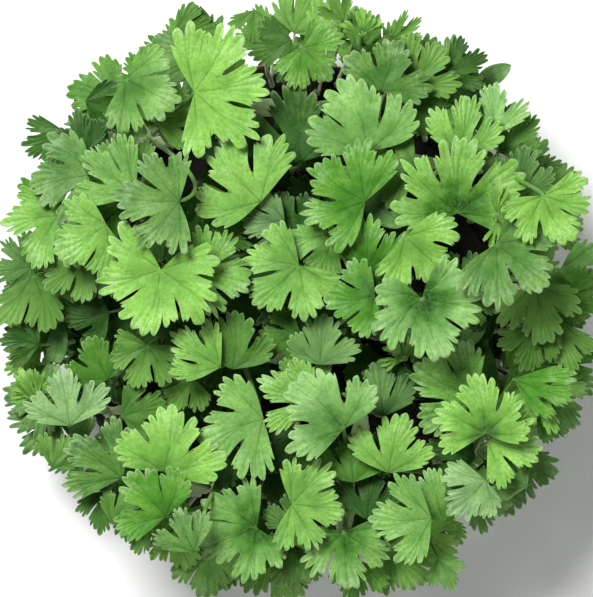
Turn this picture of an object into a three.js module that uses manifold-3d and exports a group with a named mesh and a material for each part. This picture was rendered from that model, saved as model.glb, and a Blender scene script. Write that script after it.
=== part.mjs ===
// A round living patch of cilantro microgreens: a knitted root mat under a thin slab of growing
// medium, twelve seedling stems with their seed leaves, and the true leaves that make the canopy.
// Millimetres, +Z up. The origin is the centre of the flat underside of the root mat.

import * as THREE from 'three';
import { mergeVertices } from 'three/addons/utils/BufferGeometryUtils.js';
import Module from 'manifold-3d';

const wasm = await Module();
wasm.setup();

// ---- driving dimensions -------------------------------------------------------------------
const GAP = 0.3;                    // air left between neighbouring pieces

const MAT_RADIUS = 50;              // knitted white roots under the slab
const MAT_THICKNESS = 3;
const MAT_EDGE = 0.8;
const SLAB_RADIUS = 51.5;           // the growing medium
const SLAB_BOTTOM = MAT_THICKNESS + GAP;
const SLAB_TOP = 15;
const SLAB_EDGE = 2.2;              // how far the worn top edge is rounded off
const ROUND_SIDES = 72;

const STEM_FOOT = SLAB_TOP + GAP;
const STEM_FOOT_RADIUS = 1.15;
const STEM_NECK_RADIUS = 0.85;
const STEM_SWAY = 2.2;              // how far a stem's foot stands aside from its crown
const CROWN_HEIGHT = 33;            // where the seed leaves leave the stem
const SHOOT_TOP = 44;               // tip of the short leafy shoot above the crown
const STEM_SIDES = 8;
const STEM_STEPS = 5;
const STALK_FOOT_RISE = 7;          // how far a stalk runs straight up from its foot
const STALK_NECK_RISE = 6;          // and how far it runs straight up into its crown
const SHOOT_OVERLAP = 0.5;          // how deep the shoot is rooted in the stalk
const LEAF_TURN = 137.5;            // degrees from one seedling's sway to the next

const SEED_LEAF_LENGTHS = [15, 13, 11, 9];    // the longest that has room is grown
const SEED_LEAF_WIDTH = 4.2;
const SEED_LEAF_THICKNESS = 0.5;
// Shares of its length, and of its width there, from the foot to near the tip.
const SEED_LEAF_WIDTHS = [[0, 0.22], [0.25, 0.62], [0.5, 1], [0.75, 0.9], [0.93, 0.48]];
const SEED_LEAF_SAMPLES = [0.3, 0.45, 0.6, 0.75, 0.9, 1];    // where its neighbours are tested
const SEED_LEAF_TURNS = 10;         // degrees between the directions that are tried
const SEED_LEAF_BENDS = [0, 25, -25, 50, -50];               // how far a pair may be from straight
const SEED_LEAF_RISE = 14;          // degrees above the horizontal

const BLADE_THICKNESS = 0.5;
const BLADE_CLEARANCE = 2.4;        // height kept between two blades that overlap in plan
const CANOPY_FLOOR = 56;            // lowest leaf base at the middle of the patch
const EDGE_DROOP = 5;               // how much lower the outermost leaf bases may sit
const CANOPY_RADIUS = 62.5;

const WIDE_LEAF = 100;              // half spread above which a leaf has five lobes, not three
const WIDE_LOBE_EDGES = [-1, -0.66, -0.25, 0.25, 0.66, 1];    // shares of the half spread
const NARROW_LOBE_EDGES = [-1, -0.36, 0.36, 1];
const TOOTH_PLACES = [0.16, 0.5, 0.84];       // across a lobe, from its right side to its left
const NOTCH_OFFSET = 0.17;          // from a tooth to the notch on its left
const SIDE_TOOTH = 0.88;            // the outer teeth of a lobe, as a share of the middle one
const NOTCH_REACH = 0.8;            // a notch's distance from the base, as a share of the length
const SIDE_SHORTENING = 0.24;       // how much shorter the leaf is at its sides
const INNER_SLIT_REACH = 0.42;      // where the slits beside the middle lobe end
const OUTER_SLIT_REACH = 0.6;
const INNER_SLIT_EDGE = 0.5;        // lobe edges nearer than this to the heading have inner slits
const SHOULDER_REACH = 0.3;         // the leaf's corners beside its petiole
const SHOULDER_SPREAD = 3;          // degrees outside the outermost lobes

const PETIOLE_RADIUS = 0.6;
const PETIOLE_SIDES = 5;
const PETIOLE_STEPS = 7;
const PETIOLE_SPACING = 2.0;        // distance kept between the centre lines of two petioles
const PETIOLE_PITCH = 1.4;          // height between two petioles on one shoot
const MOST_PETIOLES = 6;            // on one shoot
const NEAREST_STEMS = 4;            // how many stems a petiole may choose from
const TOP_PETIOLE_DEPTH = 1.4;      // from the tip of the shoot down to its first petiole
const PETIOLE_OUTSET = 2.5;         // how far a petiole runs straight out from the shoot
const PETIOLE_FIRST_RISE = 0.38;    // share of its height that it climbs on leaving the shoot
const PETIOLE_HOLD = 0.9;           // how far past the leaf's base its end holds the blade
const PETIOLE_SINK = 0.1;           // how deep its end is sunk in the blade
// The gentlest ways of coming up to a blade first: [mm behind the base, mm under it].
const APPROACHES = [[1.5, 6.5], [3.5, 6.5], [5.5, 5], [0.5, 7], [8, 3], [12, 1.5]];
const SWINGS = [0, 30, -30, 60, -60, 95, -95, 140, -140, 180];    // degrees, at the blade
const BOWS = [0, 40, -40, 80, -80, 130, -130, 180];               // degrees, at the shoot

// ---- the planting plan --------------------------------------------------------------------
// Stem feet, [x, y] in mm: three inner seedlings and nine around them.
const STEMS = [
  [-4, 12], [10, -7], [-12, -12],
  [-32, 34], [2, 41], [33, 29], [43, 2], [40, -28], [12, -38], [-17, -41], [-41, -24], [-40, 6],
];

// True leaves from the lowest to the highest in the stack:
// [base x, base y, heading, length, half spread, lift, roll], mm and degrees.
// The heading is the way that the middle lobe points, 0 along +X, turning left. The half spread is
// the angle from the heading to the outermost lobe. The lift raises the tip, the roll the left side.
const LEAVES = [
  [-50.5, 17.5, 235, 12.5, 108, -4, 0],
  [18, 44, 68, 12, 100, -2, 2],
  [41.5, 34.5, 88, 12, 66, 2, -2],
  [51, -18, 256, 13.5, 48, -4, 3],
  [-44, 26, 186, 13.5, 95, -6, 2],
  [15.2, 31, 100, 17.5, 88, 2, -3],
  [34.5, 30, 80, 14, 70, 3, 3],
  [7.5, 13.5, 255, 12, 100, -4, -3],
  [0.5, 7, 225, 13.5, 118, -3, 3],
  [-16, -14.5, 148, 12.5, 62, 3, 3],
  [37.5, -21, 155, 14.5, 84, 0, -3],
  [10, -49.5, 275, 12.5, 104, -5, 0],
  [19.5, -37, 82, 13.5, 76, 3, 4],
  [31, -47, 108, 12, 70, 3, -4],
  [-34, 22, 142, 15.5, 58, 2, 5],
  [-40, 15.5, 212, 12.5, 96, -3, -4],
  [14.8, 6, 30, 12, 112, -2, 3],
  [-7, -25.5, 195, 14.5, 92, -2, 0],
  [3.5, -22, 155, 12.5, 72, 3, -3],
  [34, 18, 88, 17.5, 108, 2, 0],
  [-7.5, 20.5, 136, 16.5, 88, 2, 3],
  [-21, 6, 346, 12, 106, -3, -4],
  [-28.5, 6, 262, 15, 135, -4, 0],
  [16.5, 0.5, 192, 11, 98, -3, 5],
  [23, 13, 315, 13, 92, -4, 3],
  [26.3, 0, 285, 14, 138, -5, 0],
  [10, -27.5, 130, 15, 100, 2, -3],
  [28.5, -46.5, 187, 14, 80, -2, -3],
  [-1, -43.5, 355, 12.5, 112, -2, 4],
  [-8.5, -48.5, 202, 13.2, 116, -3, -2],
  [-48, -27, 100, 13.5, 78, 4, 3],
  [-37, -38, 141, 14.5, 68, -2, -3],
  [-28, -36.5, 78, 15, 100, 3, 2],
  [-27.5, -46, 130, 12.5, 92, 2, -3],
  [-21.5, -53.5, 115, 10.5, 62, 2, 3],
  [46, -17, 338, 14, 42, -4, -6],
  [40.5, -30, 345, 12.2, 78, -4, 3],
  [39.8, -28.5, 95, 12.5, 112, -3, -2],
  [40, -38.5, 225, 10.5, 88, -4, 2],
  [42, 11.5, 322, 15, 104, -3, -4],
  [14.5, 20.5, 150, 14.5, 104, 0, 4],
  [-21.5, 43.5, 8, 17, 108, -2, 3],
  [1.2, 53, 320, 9.8, 110, -3, 0],
  [-36, 46.2, 332, 13, 98, -4, 2],
  [-24.6, 20.3, 182, 14, 104, -3, -2],
  [51.5, 21.5, 292, 11.8, 104, -6, -3],
];

// ---- finishes -----------------------------------------------------------------------------
const leafFinish = new THREE.MeshStandardMaterial({ color: 0x69a04a, roughness: 0.62, metalness: 0 });
const stemFinish = new THREE.MeshStandardMaterial({ color: 0xb9cf8f, roughness: 0.5, metalness: 0 });
const soilFinish = new THREE.MeshStandardMaterial({ color: 0x2b2119, roughness: 0.95, metalness: 0 });
const rootFinish = new THREE.MeshStandardMaterial({ color: 0xd9d0bb, roughness: 0.85, metalness: 0 });

// ---- solids -------------------------------------------------------------------------------
function toSolid(geometry) {
  const bare = geometry.index ? geometry.toNonIndexed() : geometry.clone();
  bare.deleteAttribute('normal');
  bare.deleteAttribute('uv');
  const merged = mergeVertices(bare, 1e-4);
  return new wasm.Manifold(new wasm.Mesh({
    numProp: 3,
    vertProperties: new Float32Array(merged.attributes.position.array),
    triVerts: new Uint32Array(merged.index.array),
  }));
}

function toGeometry(solid) {
  const mesh = solid.getMesh();
  const geometry = new THREE.BufferGeometry();
  geometry.setAttribute('position', new THREE.BufferAttribute(new Float32Array(mesh.vertProperties), 3));
  geometry.setIndex(new THREE.BufferAttribute(new Uint32Array(mesh.triVerts), 1));
  return geometry;
}

// A round bar along a curve, closed at both ends.
function barAlong(curve, radius, sides, steps) {
  const section = new THREE.Shape();
  for (let k = 0; k < sides; k += 1) {
    const turn = (2 * Math.PI * k) / sides;
    const x = radius * Math.cos(turn);
    const y = radius * Math.sin(turn);
    if (k === 0) section.moveTo(x, y);
    else section.lineTo(x, y);
  }
  section.closePath();
  return toSolid(new THREE.ExtrudeGeometry(section, { steps, extrudePath: curve, bevelEnabled: false }));
}

// A flat plate cut to an outline, its lower face on z = 0.
function plate(outline, thickness) {
  const shape = new THREE.Shape(outline.map(([x, y]) => new THREE.Vector2(x, y)));
  return toSolid(new THREE.ExtrudeGeometry(shape, { depth: thickness, bevelEnabled: false, steps: 1 }));
}

// ---- outlines -----------------------------------------------------------------------------
const polar = (radius, degrees) => {
  const angle = THREE.MathUtils.degToRad(degrees);
  return [radius * Math.cos(angle), radius * Math.sin(angle)];
};

// The fan of a true leaf around its base at (0, 0), pointing along +X: three lobes, or five when
// it spreads round its petiole, parted by deep slits, each lobe ending in three blunt teeth.
function leafOutline(length, halfSpread) {
  const lobeEdges = halfSpread > WIDE_LEAF ? WIDE_LOBE_EDGES : NARROW_LOBE_EDGES;
  const lobes = lobeEdges.length - 1;
  const shoulder = halfSpread + SHOULDER_SPREAD;
  const outline = [[0, 0], polar(SHOULDER_REACH * length, -shoulder)];
  for (let lobe = 0; lobe < lobes; lobe += 1) {
    const start = lobeEdges[lobe];
    const width = lobeEdges[lobe + 1] - start;
    TOOTH_PLACES.forEach((place, tooth) => {
      const across = start + width * place;
      const shorter = 1 - SIDE_SHORTENING * across * across;
      const crown = tooth === 1 ? 1 : SIDE_TOOTH;
      outline.push(polar(length * shorter * crown, across * halfSpread));
      if (tooth < TOOTH_PLACES.length - 1) {
        const notch = start + width * (place + NOTCH_OFFSET);
        outline.push(polar(length * shorter * NOTCH_REACH, notch * halfSpread));
      }
    });
    const nextEdge = lobeEdges[lobe + 1];
    const slit = Math.abs(nextEdge) < INNER_SLIT_EDGE ? INNER_SLIT_REACH : OUTER_SLIT_REACH;
    if (lobe < lobes - 1) outline.push(polar(length * slit, nextEdge * halfSpread));
  }
  outline.push(polar(SHOULDER_REACH * length, shoulder));
  return outline;
}

// A seed leaf: a smooth narrow tongue from (0, 0) along +X.
function seedLeafOutline(length) {
  const half = SEED_LEAF_WIDTH / 2;
  const lower = SEED_LEAF_WIDTHS.map(([along, wide]) => [along * length, -wide * half]);
  const upper = SEED_LEAF_WIDTHS.map(([along, wide]) => [along * length, wide * half]).reverse();
  return [...lower, [length, 0], ...upper];
}

// ---- leaves in space ----------------------------------------------------------------------
const UP = new THREE.Vector3(0, 0, 1);

// The leaf's own axes: "along" its heading, "across" to its left and "normal" out of its face.
function leafFrame([x, y, heading, length, halfSpread, lift, roll]) {
  const turn = new THREE.Quaternion()
    .setFromAxisAngle(UP, THREE.MathUtils.degToRad(heading))
    .multiply(new THREE.Quaternion().setFromAxisAngle(
      new THREE.Vector3(0, 1, 0), -THREE.MathUtils.degToRad(lift)))
    .multiply(new THREE.Quaternion().setFromAxisAngle(
      new THREE.Vector3(1, 0, 0), THREE.MathUtils.degToRad(roll)));
  const outline = leafOutline(length, halfSpread);
  const leaf = {
    base: new THREE.Vector3(x, y, 0),
    turn,
    outline,
    along: new THREE.Vector3(1, 0, 0).applyQuaternion(turn),
    normal: UP.clone().applyQuaternion(turn),
  };
  leaf.plan = outline.map(([u, v]) => {
    const point = new THREE.Vector3(u, v, 0).applyQuaternion(turn).add(leaf.base);
    return [point.x, point.y];
  });
  return leaf;
}

// Height of the leaf's plane over a point of the plan, above the leaf's base.
function planeRise(leaf, [x, y]) {
  const { base, normal } = leaf;
  return -(normal.x * (x - base.x) + normal.y * (y - base.y)) / normal.z;
}

function isInside(polygon, [x, y]) {
  let inside = false;
  for (let i = 0, j = polygon.length - 1; i < polygon.length; j = i, i += 1) {
    const [xi, yi] = polygon[i];
    const [xj, yj] = polygon[j];
    const crosses = (yi > y) !== (yj > y);
    if (crosses && x < ((xj - xi) * (y - yi)) / (yj - yi) + xi) inside = !inside;
  }
  return inside;
}

function distanceToEdge(polygon, [x, y]) {
  let nearest = Infinity;
  for (let i = 0, j = polygon.length - 1; i < polygon.length; j = i, i += 1) {
    const [ax, ay] = polygon[j];
    const [bx, by] = polygon[i];
    const length2 = (bx - ax) ** 2 + (by - ay) ** 2;
    const along = THREE.MathUtils.clamp(((x - ax) * (bx - ax) + (y - ay) * (by - ay)) / length2, 0, 1);
    nearest = Math.min(nearest, Math.hypot(x - ax - along * (bx - ax), y - ay - along * (by - ay)));
  }
  return nearest;
}

function crossing([ax, ay], [bx, by], [cx, cy], [dx, dy]) {
  const divisor = (bx - ax) * (dy - cy) - (by - ay) * (dx - cx);
  if (Math.abs(divisor) < 1e-9) return null;
  const s = ((cx - ax) * (dy - cy) - (cy - ay) * (dx - cx)) / divisor;
  const t = ((cx - ax) * (by - ay) - (cy - ay) * (bx - ax)) / divisor;
  if (s < 0 || s > 1 || t < 0 || t > 1) return null;
  return [ax + s * (bx - ax), ay + s * (by - ay)];
}

// Corners of the area that two plans share.
function sharedCorners(first, second) {
  const corners = [
    ...first.filter((point) => isInside(second, point)),
    ...second.filter((point) => isInside(first, point)),
  ];
  first.forEach((start, i) => {
    const end = first[(i + 1) % first.length];
    second.forEach((other, j) => {
      const hit = crossing(start, end, other, second[(j + 1) % second.length]);
      if (hit) corners.push(hit);
    });
  });
  return corners;
}

// Each leaf rests in the light just above the ones that it covers.
function settle(leaves) {
  leaves.forEach((leaf, index) => {
    const reach = Math.hypot(leaf.base.x, leaf.base.y) / CANOPY_RADIUS;
    let height = CANOPY_FLOOR - EDGE_DROOP * reach * reach;
    leaves.slice(0, index).forEach((lower) => {
      sharedCorners(leaf.plan, lower.plan).forEach((corner) => {
        const under = lower.base.z + planeRise(lower, corner);
        height = Math.max(height, under + BLADE_CLEARANCE - planeRise(leaf, corner));
      });
    });
    leaf.base.z = height;
  });
}

// ---- petioles -----------------------------------------------------------------------------
const SAMPLES = 26;                 // points along a petiole where its neighbours are tested
const ROUTE_SLACK = 0.15;           // extra room between a petiole and a shoot
const PETIOLE_MARGIN = PETIOLE_RADIUS + GAP + 0.05;
const SHOOT_CLEARANCE = STEM_NECK_RADIUS + PETIOLE_RADIUS + GAP;

function stemsByDistance(leaf) {
  const away = (index) => Math.hypot(leaf.base.x - STEMS[index][0], leaf.base.y - STEMS[index][1]);
  return STEMS.map((_, index) => index).sort((a, b) => away(a) - away(b));
}

// One way for a petiole to run. It leaves the shoot turned "bow" degrees aside from its leaf, and
// comes up to the blade from a point "slack" mm behind the base and "drop" mm under it, turned
// "swing" degrees aside.
function petioleCurve(leaf, stem, order, { slack, drop, swing, bow }) {
  const [sx, sy] = STEMS[stem];
  const foot = SHOOT_TOP - TOP_PETIOLE_DEPTH - order * PETIOLE_PITCH;
  const outward = Math.atan2(leaf.base.y - sy, leaf.base.x - sx) + THREE.MathUtils.degToRad(bow);
  const away = new THREE.Vector3(Math.cos(outward), Math.sin(outward), 0);
  const start = new THREE.Vector3(sx, sy, foot).addScaledVector(away, SHOOT_CLEARANCE + ROUTE_SLACK);
  const end = leaf.base.clone()
    .addScaledVector(leaf.along, PETIOLE_HOLD)
    .addScaledVector(leaf.normal, PETIOLE_SINK);
  const back = leaf.along.clone().setZ(0).normalize().negate()
    .applyAxisAngle(UP, THREE.MathUtils.degToRad(swing));
  const outset = start.clone()
    .addScaledVector(away, PETIOLE_OUTSET)
    .addScaledVector(UP, PETIOLE_FIRST_RISE * (end.z - foot));
  const under = end.clone().addScaledVector(back, slack).addScaledVector(UP, -drop);
  return new THREE.CubicBezierCurve3(start, outset, under, end);
}

function touchesBlade(point, blade) {
  const above = point.z - blade.base.z - planeRise(blade, [point.x, point.y]);
  if (above < -PETIOLE_MARGIN || above > BLADE_THICKNESS + PETIOLE_MARGIN) return false;
  const place = [point.x, point.y];
  return isInside(blade.plan, place) || distanceToEdge(blade.plan, place) < PETIOLE_MARGIN;
}

function touchesStem(point, [x, y]) {
  return point.z < SHOOT_TOP + 1 && Math.hypot(point.x - x, point.y - y) < SHOOT_CLEARANCE;
}

function countConflicts(points, leaf, leaves, petioles) {
  const others = leaves.filter((other) => other !== leaf);
  return points.filter((point) => others.some((blade) => touchesBlade(point, blade))
    || petioles.some((path) => path.some((place) => place.distanceTo(point) < PETIOLE_SPACING))
    || STEMS.some((stem) => touchesStem(point, stem))).length;
}

// The ways that a petiole may take, the gentlest first.
function* petioleWays(leaf, petiolesOnStem) {
  for (const stem of stemsByDistance(leaf).slice(0, NEAREST_STEMS)) {
    if (petiolesOnStem[stem] >= MOST_PETIOLES) continue;
    for (const [slack, drop] of APPROACHES) {
      for (const swing of SWINGS) {
        for (const bow of BOWS) {
          const bends = { slack, drop, swing, bow };
          yield { stem, curve: petioleCurve(leaf, stem, petiolesOnStem[stem], bends) };
        }
      }
    }
  }
}

// Takes the first way that is clear of every other blade, petiole and stem.
function routePetiole(leaf, leaves, petioles, petiolesOnStem) {
  for (const way of petioleWays(leaf, petiolesOnStem)) {
    const points = way.curve.getPoints(SAMPLES);
    if (countConflicts(points, leaf, leaves, petioles) === 0) return { ...way, points };
  }
  throw new Error(`no clear way for the petiole at ${leaf.base.x}, ${leaf.base.y}`);
}

// ---- seed leaves --------------------------------------------------------------------------
function seedLeafPath([x, y], azimuth, length) {
  const [dx, dy] = polar(1, azimuth);
  const [run, climb] = polar(length, SEED_LEAF_RISE);
  return SEED_LEAF_SAMPLES.map((part) => new THREE.Vector3(
    x + dx * run * part, y + dy * run * part, CROWN_HEIGHT + climb * part));
}

function seedLeafIsClear(path, stem, petioles, seedLeaves) {
  const room = SEED_LEAF_WIDTH / 2 + PETIOLE_RADIUS + 2 * GAP;
  const nearPetiole = petioles.some((other) => other.some(
    (place) => path.some((point) => place.distanceTo(point) < room)));
  const nearSeedLeaf = seedLeaves.some((other) => other.some(
    (place) => path.some((point) => place.distanceTo(point) < SEED_LEAF_WIDTH + 2 * GAP)));
  const nearStem = STEMS.some((other) => other !== stem && path.some(
    (point) => Math.hypot(point.x - other[0], point.y - other[1]) < room + STEM_SWAY));
  return !nearPetiole && !nearSeedLeaf && !nearStem;
}

// The two seed leaves of a seedling stand on opposite sides of its crown, where there is room.
function placeSeedLeaves(stem, petioles, seedLeaves) {
  for (const length of SEED_LEAF_LENGTHS) {
    for (let azimuth = 0; azimuth < 180; azimuth += SEED_LEAF_TURNS) {
      for (const bend of SEED_LEAF_BENDS) {
        const pair = [azimuth, azimuth + 180 + bend];
        const paths = pair.map((turn) => seedLeafPath(stem, turn, length));
        if (paths.every((path) => seedLeafIsClear(path, stem, petioles, seedLeaves))) {
          seedLeaves.push(...paths);
          return pair.map((turn) => ({ turn, length }));
        }
      }
    }
  }
  return [];
}

function seedLeafSolid([x, y], { turn, length }) {
  const matrix = new THREE.Matrix4().compose(
    new THREE.Vector3(x, y, CROWN_HEIGHT - SEED_LEAF_THICKNESS),
    new THREE.Quaternion().setFromAxisAngle(UP, THREE.MathUtils.degToRad(turn))
      .multiply(new THREE.Quaternion().setFromAxisAngle(
        new THREE.Vector3(0, 1, 0), -THREE.MathUtils.degToRad(SEED_LEAF_RISE))),
    new THREE.Vector3(1, 1, 1));
  return plate(seedLeafOutline(length), SEED_LEAF_THICKNESS).transform(matrix.elements);
}

// ---- building -----------------------------------------------------------------------------
const group = new THREE.Group();

function addNode(name, geometry, finish) {
  const mesh = new THREE.Mesh(geometry, finish);
  mesh.name = name;
  group.add(mesh);
}

const numbered = (word, index) => `${word}_${String(index + 1).padStart(2, '0')}`;

function addDisc(name, radius, bottom, top, edge, finish) {
  const profile = [
    [0, bottom], [radius - edge / 2, bottom], [radius, bottom + edge / 2],
    [radius, top - edge], [radius - edge, top], [0, top],
  ];
  const points = profile.map(([r, z]) => new THREE.Vector2(r, z));
  const geometry = new THREE.LatheGeometry(points, ROUND_SIDES);
  geometry.rotateX(Math.PI / 2);
  addNode(name, geometry, finish);
}

// The pale stem below the crown, the leafy shoot above it and the two seed leaves.
function addStem(index, seedLeaves) {
  const [x, y] = STEMS[index];
  const [swayX, swayY] = polar(STEM_SWAY, LEAF_TURN * index);
  const crown = new THREE.Vector3(x, y, CROWN_HEIGHT);
  const stalk = new THREE.CubicBezierCurve3(
    new THREE.Vector3(x + swayX, y + swayY, STEM_FOOT),
    new THREE.Vector3(x + swayX, y + swayY, STEM_FOOT + STALK_FOOT_RISE),
    new THREE.Vector3(x, y, CROWN_HEIGHT - STALK_NECK_RISE),
    crown);
  const shoot = new THREE.LineCurve3(
    new THREE.Vector3(x, y, CROWN_HEIGHT - SHOOT_OVERLAP), new THREE.Vector3(x, y, SHOOT_TOP));
  let solid = barAlong(stalk, STEM_FOOT_RADIUS, STEM_SIDES, STEM_STEPS)
    .add(barAlong(shoot, STEM_NECK_RADIUS, STEM_SIDES, 1));
  seedLeaves.forEach((seedLeaf) => {
    solid = solid.add(seedLeafSolid(STEMS[index], seedLeaf));
  });
  addNode(numbered('stem', index), toGeometry(solid), stemFinish);
}

function addLeaf(index, leaf, curve) {
  const matrix = new THREE.Matrix4().compose(leaf.base, leaf.turn, new THREE.Vector3(1, 1, 1));
  const blade = plate(leaf.outline, BLADE_THICKNESS).transform(matrix.elements);
  const petiole = barAlong(curve, PETIOLE_RADIUS, PETIOLE_SIDES, PETIOLE_STEPS);
  addNode(numbered('leaf', index), toGeometry(blade.add(petiole)), leafFinish);
}

addDisc('root_mat', MAT_RADIUS, 0, MAT_THICKNESS, MAT_EDGE, rootFinish);
addDisc('growing_medium', SLAB_RADIUS, SLAB_BOTTOM, SLAB_TOP, SLAB_EDGE, soilFinish);

const leaves = LEAVES.map(leafFrame);
settle(leaves);

const petioles = [];
const petiolesOnStem = STEMS.map(() => 0);
leaves.forEach((leaf, index) => {
  const route = routePetiole(leaf, leaves, petioles, petiolesOnStem);
  petiolesOnStem[route.stem] += 1;
  petioles.push(route.points);
  addLeaf(index, leaf, route.curve);
});

const seedLeafPaths = [];
STEMS.forEach((stem, index) => {
  addStem(index, placeSeedLeaves(stem, petioles, seedLeafPaths));
});

export default group;
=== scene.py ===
"""A living patch of cilantro microgreens: the looks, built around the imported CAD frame."""

import math

import bpy
import numpy as np
from mathutils import Matrix, Vector


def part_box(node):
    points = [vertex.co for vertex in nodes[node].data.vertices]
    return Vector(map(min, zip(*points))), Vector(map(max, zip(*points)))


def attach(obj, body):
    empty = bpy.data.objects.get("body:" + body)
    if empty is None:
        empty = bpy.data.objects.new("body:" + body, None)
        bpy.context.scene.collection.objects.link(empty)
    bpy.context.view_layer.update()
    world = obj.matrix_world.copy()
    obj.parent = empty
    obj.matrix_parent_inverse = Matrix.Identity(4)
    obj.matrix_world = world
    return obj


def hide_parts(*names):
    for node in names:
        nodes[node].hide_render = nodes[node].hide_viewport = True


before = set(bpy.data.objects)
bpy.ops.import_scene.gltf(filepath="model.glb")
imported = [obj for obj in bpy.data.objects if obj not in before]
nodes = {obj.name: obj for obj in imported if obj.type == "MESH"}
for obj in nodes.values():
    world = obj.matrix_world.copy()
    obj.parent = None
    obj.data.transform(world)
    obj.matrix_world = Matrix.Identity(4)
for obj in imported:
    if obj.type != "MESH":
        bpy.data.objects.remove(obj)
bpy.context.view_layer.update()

MM = 0.001

# ---- sizes from the frame -----------------------------------------------------------------
SLAB_LOW, SLAB_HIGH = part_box("growing_medium")
MAT_LOW, MAT_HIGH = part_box("root_mat")
SLAB_RADIUS = SLAB_HIGH.x / MM
SLAB_BOTTOM = SLAB_LOW.z / MM
SLAB_TOP = SLAB_HIGH.z / MM
MAT_RADIUS = MAT_HIGH.x / MM
MAT_TOP = MAT_HIGH.z / MM
CANOPY_RADIUS = 62.5
CANOPY_FLOOR = 55.0
EDGE_DROOP = 5.0
BLADE_THICKNESS = 0.24
TIER_CLEARANCE = 2.3
RIM_RINGS = [(52, 56), (42, 49.5)]
RIM_LIMIT = 51
UNDER_RIM_RINGS = [(40, 51.5), (34, 45)]
UNDER_RIM_LIMIT = 40
FILL_RINGS = [2, 10, 18, 26, 34, 42, 50]
FILL_SPACING = 8.5
FILL_LIMIT = 47
FILL_CLEARANCE = 2.6
FILL_FLOOR = 24
SECTORS = 12
HUSKS = 16
HUSK_RADIUS = 1.5
# How much painted shade darkens a leaf in each tier, 0 to 1: the lower tiers lie in the canopy's shade.
TOP_TIER_SHADE = 0.0
SECOND_TIER_SHADE = 0.40
RIM_TIER_SHADE = 0.22
FILL_TIER_SHADE = 0.80

# ---- planting plan, in mm and degrees -----------------------------------------------------
# CAD leaves leaf_01 to leaf_46: base x, base y, heading, length, half spread, lift, roll as in
# part.mjs, then the tone and the cup (how far the rim stands above the base, in mm).
CAD_LEAVES = [
    (-50.5, 17.5, 235, 12.5, 108, -4, 0, "light", 0.5),
    (18, 44, 68, 12, 100, -2, 2, "dull", 0.4),
    (41.5, 34.5, 88, 12, 66, 2, -2, "pale", -0.4),
    (51, -18, 256, 13.5, 48, -4, 3, "light", 0.2),
    (-44, 26, 186, 13.5, 95, -6, 2, "grey", 0.3),
    (15.2, 31, 100, 17.5, 88, 2, -3, "soft", 0.5),
    (34.5, 30, 80, 14, 70, 3, 3, "light", -0.3),
    (7.5, 13.5, 255, 12, 100, -4, -3, "soft", -0.8),
    (0.5, 7, 225, 13.5, 118, -3, 3, "light", 0.4),
    (-16, -14.5, 148, 12.5, 62, 3, 3, "light", 0.3),
    (37.5, -21, 155, 14.5, 84, 0, -3, "mid", 0.7),
    (10, -49.5, 275, 12.5, 104, -5, 0, "soft", -0.9),
    (19.5, -37, 82, 13.5, 76, 3, 4, "light", 0.4),
    (31, -47, 108, 12, 70, 3, -4, "soft", 0.6),
    (-34, 22, 142, 15.5, 58, 2, 5, "soft", 0.3),
    (-40, 15.5, 212, 12.5, 96, -3, -4, "light", -0.4),
    (14.8, 6, 30, 12, 112, -2, 3, "vivid", 0.9),
    (-7, -25.5, 195, 14.5, 92, -2, 0, "soft", 0.3),
    (3.5, -22, 155, 12.5, 72, 3, -3, "light", -0.3),
    (34, 18, 88, 17.5, 108, 2, 0, "light", 1.0),
    (-7.5, 20.5, 136, 16.5, 88, 2, 3, "light", 0.4),
    (-21, 6, 346, 12, 106, -3, -4, "mid", 0.8),
    (-28.5, 6, 262, 15, 135, -4, 0, "bright", 0.6),
    (16.5, 0.5, 192, 11, 98, -3, 5, "vivid", -0.7),
    (23, 13, 315, 13, 92, -4, 3, "bright", -0.5),
    (26.3, 0, 285, 14, 138, -5, 0, "pale", 1.1),
    (10, -27.5, 130, 15, 100, 2, -3, "pale", 0.8),
    (28.5, -46.5, 187, 14, 80, -2, -3, "soft", 0.3),
    (-1, -43.5, 355, 12.5, 112, -2, 4, "light", 0.5),
    (-8.5, -48.5, 202, 13.2, 116, -3, -2, "soft", 0.9),
    (-48, -27, 100, 13.5, 78, 4, 3, "frost", 0.2),
    (-37, -38, 141, 14.5, 68, -2, -3, "dull", 0.4),
    (-28, -36.5, 78, 15, 100, 3, 2, "bright", 0.4),
    (-27.5, -46, 130, 12.5, 92, 2, -3, "vivid", 0.5),
    (-21.5, -53.5, 115, 10.5, 62, 2, 3, "grey", 0.3),
    (46, -17, 338, 14, 42, -4, -6, "vivid", 0.3),
    (40.5, -30, 345, 12.2, 78, -4, 3, "bright", 0.9),
    (39.8, -28.5, 95, 12.5, 112, -3, -2, "bright", 1.0),
    (40, -38.5, 225, 10.5, 88, -4, 2, "frost", -0.5),
    (42, 11.5, 322, 15, 104, -3, -4, "grey", 0.8),
    (14.5, 20.5, 150, 14.5, 104, 0, 4, "vivid", 0.9),
    (-21.5, 43.5, 8, 17, 108, -2, 3, "bright", 0.7),
    (1.2, 53, 320, 9.8, 110, -3, 0, "mid", -0.6),
    (-36, 46.2, 332, 13, 98, -4, 2, "soft", -0.9),
    (-24.6, 20.3, 182, 14, 104, -3, -2, "grey", 0.4),
    (51.5, 21.5, 292, 11.8, 104, -6, -3, "bright", -0.6),
]

# CAD leaves with a dark, saturated heart, and how dark it is: the leaf's own deeper green at the base with
# painted shade in its cup.
HEART_PIGMENT_AND_SHADE = {
    6: 0.5, 8: 0.9, 12: 1.0, 14: 0.8, 17: 1.0, 20: 1.1, 22: 0.5, 24: 0.9, 26: 1.15, 27: 0.9, 30: 1.1,
    33: 0.5, 34: 0.6, 38: 0.9, 40: 0.6, 41: 0.8, 44: 0.6, 9: 0.5,
}
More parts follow.
